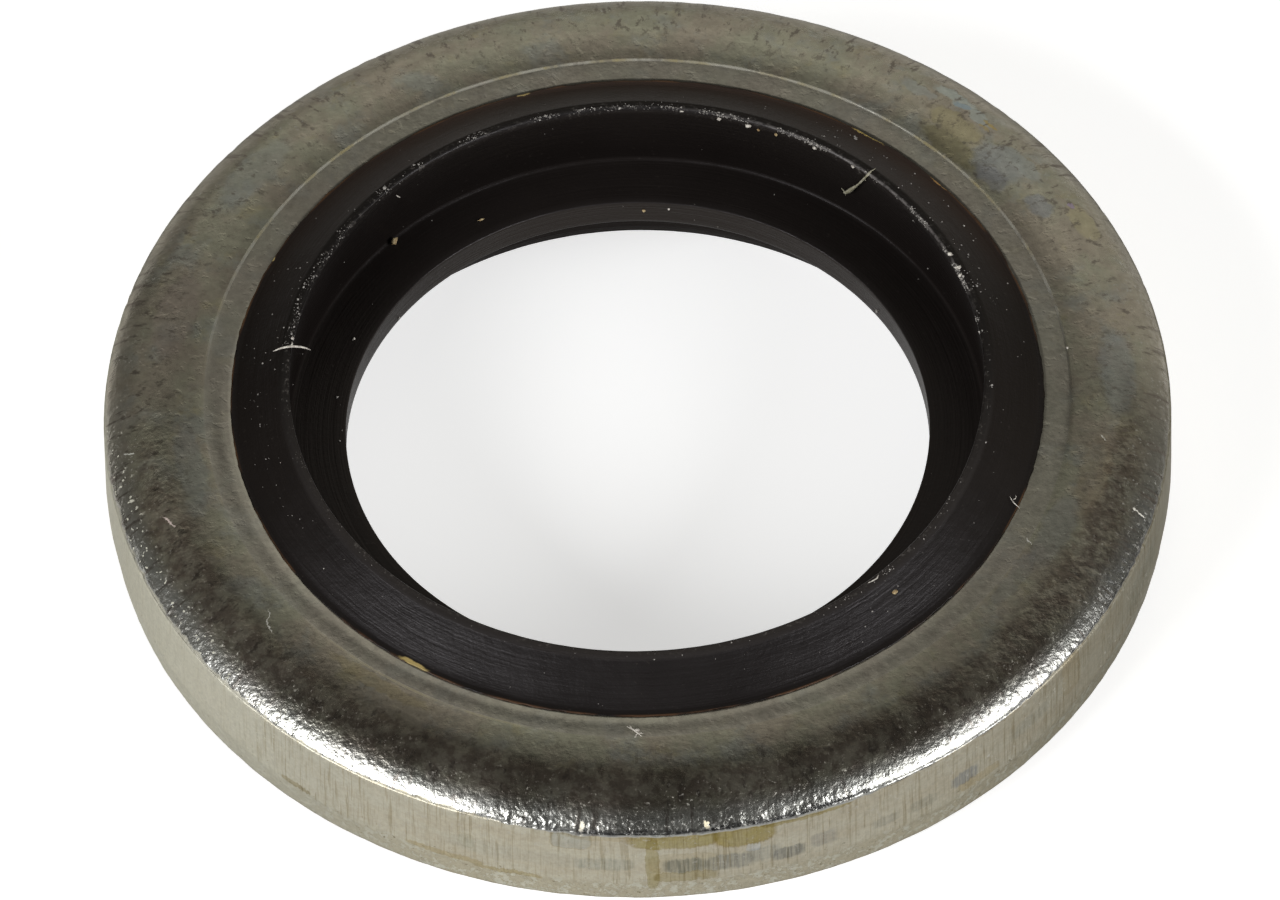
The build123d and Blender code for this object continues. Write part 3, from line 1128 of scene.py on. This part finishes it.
def strand(thickness, *stops):
    """A thin round thread through the stops, drawn out to nothing at both ends."""
    way = [spot(*stop) for stop in stops]
    way = [2 * way[0] - way[1], *way, 2 * way[-1] - way[-2]]
    centres = []
    for before, start, end, after in zip(way, way[1:], way[2:], way[3:]):
        lead = [start + (end - before) / 6, end - (after - start) / 6]
        centres += interpolate_bezier(start, lead[0], lead[1], end, 7)[:-1]
    centres.append(way[-2])
    points = []
    for index, centre in enumerate(centres):
        ahead = centres[min(index + 1, len(centres) - 1)] - centres[max(index - 1, 0)]
        side = ahead.cross(Vector((0.2, 0.1, 1))).normalized()
        rise = side.cross(ahead).normalized()
        width = thickness * (0.12 + sin(pi * index / (len(centres) - 1)) ** 0.6)
        for step in range(STRAND_SIDES):
            turn = 2 * pi * step / STRAND_SIDES
            points.append(centre + (side * cos(turn) + rise * sin(turn) * 0.6) * width)
    faces = wrapped(len(centres), STRAND_SIDES, closed=False)
    last = len(points) - STRAND_SIDES
    faces.append(tuple(range(STRAND_SIDES))[::-1])
    faces.append(tuple(range(last, last + STRAND_SIDES)))
    return points, faces


def add_lint():
    """The lint, shavings and grit that lie on the washer."""
    chance = random.Random(9)
    pale = [strand(*thread) for thread in LINT]
    brown = []
    for angle, radius, height, across, along, up, is_brown in GRIT:
        grain = pebble(chance, Vector((0, 0, 0)), 1, (across, along, up))
        turn = Matrix.Rotation(radians(angle), 3, "Z")
        centre = spot(angle, radius, height)
        kind = brown if is_brown else pale
        kind.append(([centre + turn @ point for point in grain], BALL_FACES))
    add_loose("olive_shaving", [strand(*thread) for thread in SHAVING], SHAVING_LOOK)
    add_loose("lint_fibres", pale, LINT_LOOK)
    add_loose("ochre_grit", brown, GRIT_LOOK)


# --- camera and light
ELEVATION = radians(51.468)
ROLL = radians(-1.114)
DISTANCE = 450 * MM
LENS_MM = 850.2
AIM = Vector((0.028, 0, 1.196)) * MM


def heading(azimuth, elevation):
    """A direction out from the washer. Azimuth 0 is in front, and 90 on the right."""
    a, e = radians(azimuth), radians(elevation)
    return Vector((sin(a) * cos(e), -cos(a) * cos(e), sin(e)))


def add_camera():
    data = bpy.data.cameras.new("camera")
    data.lens = LENS_MM
    data.sensor_width = 36
    data.clip_start, data.clip_end = 0.01, 10
    camera = placed("camera", data)
    back = Vector((0, -cos(ELEVATION), sin(ELEVATION)))
    turn = (-back).to_track_quat("-Z", "Y").to_matrix() @ Matrix.Rotation(ROLL, 3, "Z")
    camera.matrix_world = Matrix.Translation(AIM + back * DISTANCE) @ turn.to_4x4()
    bpy.context.scene.camera = camera


# The softboxes: name, azimuth, elevation, distance, width and height in metres, radiance
SOFTBOXES = [
    ("left_softbox", -52, 27, 0.5, 0.33, 0.22, 11.5),
    ("right_softbox", 60, 24, 0.5, 0.33, 0.2, 11),
]


def add_softbox(name, azimuth, elevation, distance, width, height, radiance):
    """An area lamp that faces the washer."""
    data = bpy.data.lights.new(name, "AREA")
    data.shape = "RECTANGLE"
    data.size, data.size_y = width, height
    data.energy = radiance * pi * width * height
    lamp = placed(name, data)
    back = heading(azimuth, elevation)
    lamp.location = back * distance
    lamp.rotation_mode = "QUATERNION"
    lamp.rotation_quaternion = (-back).to_track_quat("-Z", "Y")


# The room's radiance, and its paler parts: azimuth, elevation, inner and outer angle, radiance
ROOM = 0.06
ROOM_TINT = (1.02, 0.99, 0.88)
PALE_WALLS = [
    (158, 5, 38, 60, 0.5),
    (-130, 15, 10, 50, 0.12),
]


def add_world():
    """A dim room with paler walls behind the washer and on its right."""
    world = bpy.data.worlds.new("room")
    world.use_nodes = True
    bpy.context.scene.world = world
    w = Nodes(world.node_tree)
    place = w.node("TexCoord", {}, "Generated")
    total = ROOM
    for azimuth, elevation, inner, outer, radiance in PALE_WALLS:
        facing = w.vector("DOT_PRODUCT", place, tuple(heading(azimuth, elevation)), out="Value")
        edges = [cos(radians(angle)) for angle in (outer, inner)]
        total = w.total((facing, *edges, 0, radiance), total)
    background = w.tree.nodes["Background"]
    w.feed(background.inputs["Color"], ROOM_TINT)
    w.feed(background.inputs["Strength"], total)


FLOOR_SIZE = 1200
FLOOR_GLOW = 0.55
MIRRORED_GLOW = 0.36


def add_floor():
    """White paper that glows a little, so that it reads white with a shadow."""
    s = Shader("white_paper")
    s.finish(Base_Color=(0.8, 0.8, 0.8), Roughness=0.9, Specular_IOR_Level=0)
    path = s.node("LightPath", {}).node.outputs
    seen = s.both(s.most(path["Is Camera Ray"], path["Is Transmission Ray"]), FLOOR_GLOW)
    glow = s.total(seen, s.both(path["Is Glossy Ray"], MIRRORED_GLOW))
    light = s.node("Emission", {"Strength": glow})
    lit = s.node("AddShader", {0: s.surface.outputs[0], 1: light})
    s.feed(s.tree.nodes["Material Output"].inputs[0], lit)
    half = FLOOR_SIZE / 2
    corners = [(-half, -half, 0), (half, -half, 0), (half, half, 0), (-half, half, 0)]
    floor = mesh_piece("floor", corners, [(0, 1, 2, 3)], s.material)


add_camera()
add_ring()
add_seal()
add_dust()
add_lint()
add_floor()
add_world()
for lamp in SOFTBOXES:
    add_softbox(*lamp)

bpy.context.scene.view_settings.view_transform = "Standard"
